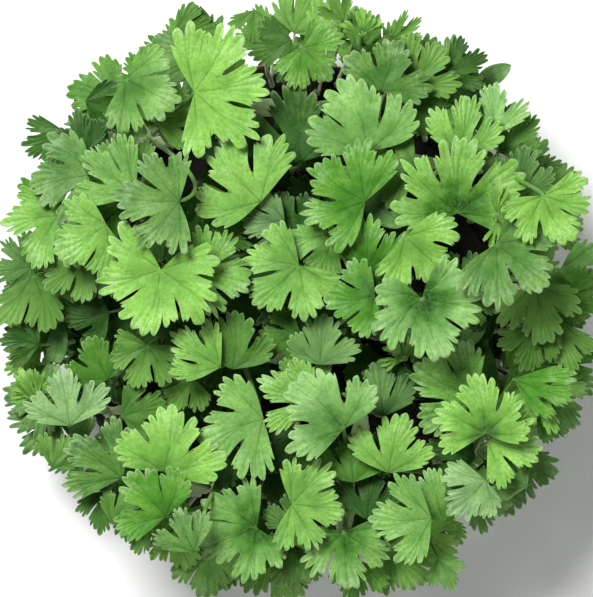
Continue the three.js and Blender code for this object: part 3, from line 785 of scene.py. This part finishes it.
# ---- second tier and floor of the canopy --------------------------------------------------
def settle_under(leaf, covers, limit, clearance):
    """Puts the leaf as high as the light lets it, under every leaf that covers it."""
    plan = leaf.plan_points()
    away = min(1.0, np.hypot(*leaf.base[:2]) / CANOPY_RADIUS)
    height = limit - EDGE_DROOP * away ** 2
    rise = leaf.plane_height(plan)
    for other in covers:
        if np.hypot(*(other.base[:2] - leaf.base[:2])) > other.shape.length + leaf.shape.length:
            continue
        hit = other.covers(plan)
        if hit.any():
            room = other.plane_height(plan[hit]) - clearance - rise[hit]
            height = min(height, room.min())
    leaf.base[2] = height


def seedling_stem(batch, leaf, heart, slot, chance, sides=7):
    """The petiole and stem that carry a leaf of the lower tiers, down to the medium."""
    reach = np.hypot(*leaf.base[:2])
    foot_xy = leaf.base[:2] * min(0.92, (SLAB_RADIUS - 4) / max(1.0, reach))
    foot_xy = foot_xy + chance.uniform(-1.8, 1.8, 2)
    crown = np.array([*foot_xy, min(heart[2] - 8, chance.uniform(26, 32))])
    foot = np.array([*(foot_xy + chance.uniform(-1.2, 1.2, 2)), SLAB_TOP - 0.8])
    back = -leaf.along * np.array([1, 1, 0])
    end = heart + leaf.along * 0.8 - leaf.normal * 0.4
    third = (end[2] - crown[2]) / 3
    upper = bezier(crown, crown + np.array([0, 0, third]), end + back * 2.2 - np.array([0, 0, third]),
                   end, 10)
    lower = bezier(foot, foot + np.array([0, 0, 4]), crown - np.array([0, 0, 3]), crown, 5)
    line = np.concatenate([lower[:-1], upper])
    radii = np.interp(np.linspace(0, 1, len(line)), [0, 0.35, 0.5, 1], [0.68, 0.56, 0.42, 0.24])
    tube(batch, line, radii, sides, slot)


def make_second_tier(index, row, covers):
    x, y, heading, length, half_spread, tone = row
    chance = np.random.default_rng(500 + index)
    lift, roll, cup = chance.uniform(-4, 3), chance.uniform(-4, 4), chance.uniform(-0.9, 0.9)
    leaf = Leaf(x, y, heading, length * 1.06, half_spread, lift, roll, tone, cup, 900 + index)
    settle_under(leaf, covers, CANOPY_FLOOR, TIER_CLEARANCE)
    batch = Batch()
    heart = leaf.add_to(batch, SECOND_TIER_SHADE)
    seedling_stem(batch, leaf, heart, 1, chance)
    batch.build(f"seedling_{index + 1:02d}", [LEAF_SKINS[tone], STEM_SKIN], "leaf_green")
    return leaf


def understorey_plan():
    """Places for the leaves that fill the canopy from below, and for its leafy rim."""
    chance = np.random.default_rng(77)
    places = []
    for count, reach in RIM_RINGS:
        for k in range(count):
            turn = 360 * (k + chance.uniform(-0.25, 0.25)) / count
            out = reach + chance.uniform(-1.5, 1.5)
            heading = turn + chance.uniform(-50, 50)
            room = CANOPY_RADIUS + 1 - out * math.cos(math.radians(heading - turn))
            length = min(chance.uniform(9, 12), room)
            tone = chance.choice(["light", "soft", "mid", "bright", "grey", "vivid"])
            places.append((out, turn, heading, max(7.5, length), tone, RIM_LIMIT, RIM_TIER_SHADE))
    # Leaves under the rim and in the fill take mostly the deep tone and a strong share of painted shade.
    for count, reach in UNDER_RIM_RINGS:
        for k in range(count):
            turn = 360 * (k + chance.uniform(-0.25, 0.25)) / count
            places.append((reach + chance.uniform(-1, 1), turn, turn + chance.uniform(-40, 40),
                           chance.uniform(9, 11), chance.choice(["deep", "mid"]), UNDER_RIM_LIMIT,
                           FILL_TIER_SHADE))
    for reach in FILL_RINGS:
        count = max(1, round(2 * math.pi * reach / FILL_SPACING))
        for k in range(count):
            turn = 360 * (k + chance.uniform(-0.3, 0.3)) / count
            tone = chance.choice(["deep", "deep", "deep", "dull", "vivid", "mid"])
            places.append((reach + chance.uniform(-2, 2), turn, chance.uniform(0, 360),
                           chance.uniform(9.5, 12.5), tone, FILL_LIMIT, FILL_TIER_SHADE))
    return places


def grow_understorey(covers):
    """Fills the gaps: leaves below, darkened by painted shade, gathered by sector into a few pieces."""
    chance = np.random.default_rng(78)
    tones = list(TONES)
    skins = [LEAF_SKINS[tone] for tone in tones] + [STEM_SKIN]
    sectors = [Batch() for _ in range(SECTORS)]
    for index, (out, turn, heading, length, tone, limit, depth) in enumerate(understorey_plan()):
        x, y = out * math.cos(math.radians(turn)), out * math.sin(math.radians(turn))
        leaf = Leaf(x, y, heading, length, chance.uniform(70, 112), chance.uniform(-7, 4),
                    chance.uniform(-6, 6), tone, chance.uniform(-0.8, 0.8), 3000 + index, False)
        settle_under(leaf, covers, limit, FILL_CLEARANCE)
        if leaf.base[2] < FILL_FLOOR:
            continue
        batch = sectors[int((turn % 360) / 360 * SECTORS) % SECTORS]
        heart = leaf.add_to(batch, depth, tones.index(tone))
        seedling_stem(batch, leaf, heart, len(tones), chance, 5)
        covers.append(leaf)
    for index, batch in enumerate(sectors):
        if batch.count:
            batch.build(f"understorey_{index + 1:02d}", skins, "leaf_green")


tiers = [make_cad_leaf(index, row) for index, row in enumerate(CAD_LEAVES)]
for index, row in enumerate(SECOND_TIER):
    tiers.append(make_second_tier(index, row, tiers))
grow_understorey(tiers)


# ---- small things in the gaps -------------------------------------------------------------
def oval_blade(batch, foot, tip, width, slot, depth):
    """A smooth seed leaf between two points: a shallow trough with a blunt tip."""
    foot, tip = np.asarray(foot, float), np.asarray(tip, float)
    along = tip - foot
    side = np.cross((0, 0, 1), along)
    side /= np.linalg.norm(side)
    upright = np.cross(along, side) / np.linalg.norm(along)
    rows, across = 15, np.linspace(-1, 1, 9)
    grid = []
    for t in np.linspace(0, 1, rows):
        half = 0.5 * width * (math.sin(math.pi * min(1, 0.06 + 0.94 * t) ** 0.85) ** 0.6 + 0.04)
        centre = foot + along * t + upright * 0.7 * math.sin(math.pi * t)
        grid.append([centre + side * half * u + upright * 0.55 * u * u for u in across])
    top = np.array(grid).reshape(-1, 3)
    under = top - upright * 0.35
    columns = len(across)
    first = len(top)
    faces = []
    for i in range(rows - 1):
        for j in range(columns - 1):
            a, b = i * columns + j, (i + 1) * columns + j
            faces.append((a, b, b + 1, a + 1))
            faces.append((first + a, first + a + 1, first + b + 1, first + b))
    border = [j for j in range(columns)] + [(i + 1) * columns - 1 for i in range(1, rows)]
    border += [(rows - 1) * columns + j for j in range(columns - 2, -1, -1)]
    border += [i * columns for i in range(rows - 2, 0, -1)]
    for a, b in zip(border, border[1:] + border[:1]):
        faces.append((a, b, first + b, first + a))
    count = len(top) * 2
    middle = np.abs(np.tile(np.tile(across, rows), 2)) * width / 2
    values = {"leaf_reach": np.full(count, 0.7), "leaf_rim": np.zeros(count), "leaf_vein": middle,
              "leaf_main": middle, "leaf_painted_shade": np.full(count, depth), "leaf_heart": np.zeros(count)}
    batch.add(np.concatenate([top, under]), faces, slot, values)


def stalk_to(batch, top_point, slot, chance):
    """A thin stem from the medium up to a point."""
    top_point = np.asarray(top_point, float)
    inward = min(0.9, (SLAB_RADIUS - 5) / max(1.0, np.hypot(*top_point[:2])))
    foot = np.array([*(top_point[:2] * inward + chance.uniform(-2, 2, 2)), SLAB_TOP - 0.8])
    line = bezier(foot, foot + np.array([0, 0, 12]), top_point - np.array([0, 0, 10]), top_point, 14)
    tube(batch, line, np.linspace(0.68, 0.36, len(line)), 7, slot)


def grow_seed_leaves():
    """Pairs of smooth seed leaves; the first stands high enough to show between true leaves."""
    chance = np.random.default_rng(61)
    batch = Batch()
    for x, y, z, heading, length, width in SEED_LEAVES:
        along = np.array([math.cos(math.radians(heading)), math.sin(math.radians(heading)), 0.12])
        crown = np.array([x, y, z])
        stalk_to(batch, crown + np.array([0, 0, 0.2]), 1, chance)
        for way in (1, -1):
            flat = along * np.array([way, way, 1])
            # The seed leaves get a little painted shade.
            oval_blade(batch, crown + flat * 0.2, crown + flat * length, width, 0, 0.15)
    batch.build("seed_leaves", [LEAF_SKINS["grey"], STEM_SKIN], "leaf_green")


def grow_fronds():
    """Young, half-open fronds: three narrow leaflets on one stalk."""
    batch = Batch()
    for index, (x, y, z, headings, length) in enumerate(YOUNG_FRONDS):
        chance = np.random.default_rng(700 + index)
        for k, heading in enumerate(headings):
            turn = math.radians(heading)
            leaflet = Leaf(x + math.cos(turn), y + math.sin(turn), heading, length * (1 if k == 0 else 0.8),
                           30, 12, chance.uniform(-16, 16), "bright", 0.6, 7000 + 10 * index + k)
            leaflet.base[2] = z
            heart = leaflet.add_to(batch, 0.0, 0)
            tube(batch, bezier((x, y, z - 1.5), (x, y, z - 0.6), heart - leaflet.along, heart, 6),
                 np.full(6, 0.3), 6, 1)
        stalk_to(batch, (x, y, z - 1.4), 1, chance)
    batch.build("young_fronds", [LEAF_SKINS["bright"], STEM_SKIN], "leaf_green")


grow_seed_leaves()
grow_fronds()


# ---- stems, medium and roots --------------------------------------------------------------
def dress_stem(name, node):
    """The stalk, shoot and seed leaves of one CAD stem, rounded off."""
    piece = bpy.data.objects.new("skin_" + name, node.data.copy())
    bpy.context.scene.collection.objects.link(piece)
    remesh = piece.modifiers.new("skin", "REMESH")
    remesh.mode = "VOXEL"
    remesh.voxel_size = 0.32 * MM
    remesh.use_smooth_shade = True
    soften = piece.modifiers.new("soften", "SMOOTH")
    soften.factor = 0.5
    soften.iterations = 3
    fewer = piece.modifiers.new("fewer", "DECIMATE")
    fewer.ratio = 0.35
    piece.data.materials.clear()
    piece.data.materials.append(STEM_SKIN)
    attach(piece, "root")
    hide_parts(name)


for stem_name, stem_node in list(nodes.items()):
    if stem_name.startswith("stem_"):
        dress_stem(stem_name, stem_node)


def lumpy_disc(name, radius, bottom, top, edge, lump, material, slot_name, seed):
    """A round slab with an uneven top and a ragged edge."""
    chance = np.random.default_rng(seed)
    phases = chance.uniform(0, 6.3, (5, 3))
    sides = 160
    profile = [(0, bottom), (0.4, bottom), (0.75, bottom), (0.97, bottom), (1.0, bottom + 0.5 * edge)]
    heights = np.linspace(bottom + edge, top - edge, 5)
    profile += [(1.0, z) for z in heights]
    profile += [(0.985, top - 0.35 * edge), (0.955, top)]
    profile += [(r, top) for r in np.linspace(0.9, 0.0, 26)]
    points, faces = [], []
    for k, (part, z) in enumerate(profile):
        for j in range(sides):
            turn = 2 * math.pi * j / sides
            rough = sum(math.sin((3 + 5 * i) * turn + p[0] + 9 * z * (i + 1) / 6) / (i + 1.5)
                        for i, p in enumerate(phases))
            out = radius * part - (0.35 * lump * abs(rough) if part > 0.9 else 0)
            x, y = out * math.cos(turn), out * math.sin(turn)
            dip = 0.8
            if z > top - edge and part < 0.99:
                dip = sum(math.sin(x * (0.25 + 0.3 * i) + p[1]) * math.sin(y * (0.3 + 0.27 * i) + p[2])
                          / (i + 1) for i, p in enumerate(phases))
            points.append((x, y, z + min(0.0, lump * (0.5 * dip - 0.4))))
        if k:
            low, high = (k - 1) * sides, k * sides
            faces += [(low + j, low + (j + 1) % sides, high + (j + 1) % sides, high + j)
                      for j in range(sides)]
    batch = Batch()
    batch.add(points, faces)
    piece = batch.build(name, [material], slot_name)
    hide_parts(slot_name if slot_name in nodes else "root_mat")


lumpy_disc("coir_slab", SLAB_RADIUS, SLAB_BOTTOM - 0.3, SLAB_TOP, 1.6, 1.1, SOIL, "growing_medium", 5)
lumpy_disc("root_felt", MAT_RADIUS, 0.0, MAT_TOP, 0.6, 0.4, ROOTS, "roots", 6)


def add_crumbs():
    """Loose crumbs of coir on the slab and round its edge."""
    chance = np.random.default_rng(31)
    batch = Batch()
    for _ in range(900):
        on_edge = chance.random() < 0.35
        turn = chance.uniform(0, 2 * math.pi)
        if on_edge:
            reach, z = SLAB_RADIUS - 0.3, chance.uniform(SLAB_BOTTOM + 0.5, SLAB_TOP - 0.8)
        else:
            reach, z = SLAB_RADIUS * math.sqrt(chance.random()) * 0.97, SLAB_TOP - 0.1
        size = chance.uniform(0.35, 1.1)
        corners = np.array([(1, 0, 0), (-1, 0, 0), (0, 1, 0), (0, -1, 0), (0, 0, 0.8), (0, 0, -0.8)])
        corners = corners * size * chance.uniform(0.6, 1.1, (6, 1))
        corners = corners @ np.array(Matrix.Rotation(chance.uniform(0, 3), 3, "Z")).T
        place = np.array([reach * math.cos(turn), reach * math.sin(turn), z])
        faces = [(0, 2, 4), (2, 1, 4), (1, 3, 4), (3, 0, 4), (2, 0, 5), (1, 2, 5), (3, 1, 5), (0, 3, 5)]
        batch.add(place + corners, faces)
    batch.build("coir_crumbs", [SOIL], "growing_medium")


def add_roots():
    """White roots that wander over the side of the slab and knit the mat together."""
    chance = np.random.default_rng(41)
    batch = Batch()
    for _ in range(260):
        turn = chance.uniform(0, 2 * math.pi)
        z = chance.uniform(1.0, SLAB_TOP - 2)
        steps = int(chance.integers(10, 22))
        heading = chance.normal(0, 1.1)
        path = []
        for _ in range(steps):
            inset = MAT_RADIUS if z < MAT_TOP else SLAB_RADIUS
            reach = inset - 0.25 + chance.uniform(-0.1, 0.15)
            path.append((reach * math.cos(turn), reach * math.sin(turn), z))
            heading += chance.normal(0, 0.35)
            turn += math.cos(heading) * 1.3 / inset
            z = float(np.clip(z + math.sin(heading) * 0.9, 0.5, SLAB_TOP - 1.2))
        radii = np.linspace(chance.uniform(0.14, 0.26), 0.07, steps)
        tube(batch, path, radii, 5)
    batch.build("root_threads", [ROOTS], "roots")


def add_husks():
    """Split seed husks that lie half sunk in the medium."""
    chance = np.random.default_rng(51)
    batch = Batch()
    for _ in range(HUSKS):
        turn, reach = chance.uniform(0, 2 * math.pi), SLAB_RADIUS * math.sqrt(chance.random()) * 0.9
        middle = np.array([reach * math.cos(turn), reach * math.sin(turn), SLAB_TOP + 0.3])
        lean = chance.uniform(0, 2 * math.pi)
        axis = np.array([math.cos(lean), math.sin(lean), chance.uniform(-0.3, 0.3)])
        along = np.linspace(-1, 1, 9)
        path = middle + axis * along[:, None] * HUSK_RADIUS
        tube(batch, path, 0.1 + HUSK_RADIUS * np.sqrt(1 - (0.98 * along) ** 2), 12)
    batch.build("seed_husks", [HUSK], "growing_medium")


add_crumbs()
add_husks()
add_roots()


# ---- floor, light and camera --------------------------------------------------------------
def add_floor():
    bpy.ops.mesh.primitive_plane_add(size=6, location=(0, 0, -0.0002))
    floor = bpy.context.object
    floor.name = "studio_floor"
    floor.data.materials.append(floor_material())


def add_light(name, place, size, power, target=(0, 0, 0.04)):
    data = bpy.data.lights.new(name, "AREA")
    data.shape = "DISK"
    data.size = size
    data.energy = power
    light = bpy.data.objects.new(name, data)
    bpy.context.scene.collection.objects.link(light)
    light.location = place
    light.rotation_euler = (Vector(place) - Vector(target)).to_track_quat("Z", "Y").to_euler()


def add_camera():
    data = bpy.data.cameras.new("camera")
    camera = bpy.data.objects.new("camera", data)
    bpy.context.scene.collection.objects.link(camera)
    data.sensor_width = 36
    distance = 1.4
    canopy_top = 0.058
    data.lens = data.sensor_width * (distance - canopy_top) / (2 * 63.0 * MM)
    camera.location = (0, 0, distance)
    data.clip_start = 0.05
    bpy.context.scene.camera = camera


def add_world():
    world = bpy.data.worlds.new("studio")
    world.use_nodes = True
    background = world.node_tree.nodes["Background"]
    background.inputs[0].default_value = (1, 1, 1, 1)
    background.inputs[1].default_value = 0.16
    bpy.context.scene.world = world


add_floor()
add_light("overhead", (-0.42, 0.54, 1.14), 0.56, 24.3)
add_light("side", (0.9, -0.8, 0.9), 1.0, 6)
add_camera()
add_world()
scene = bpy.context.scene
scene.view_settings.view_transform = "Standard"
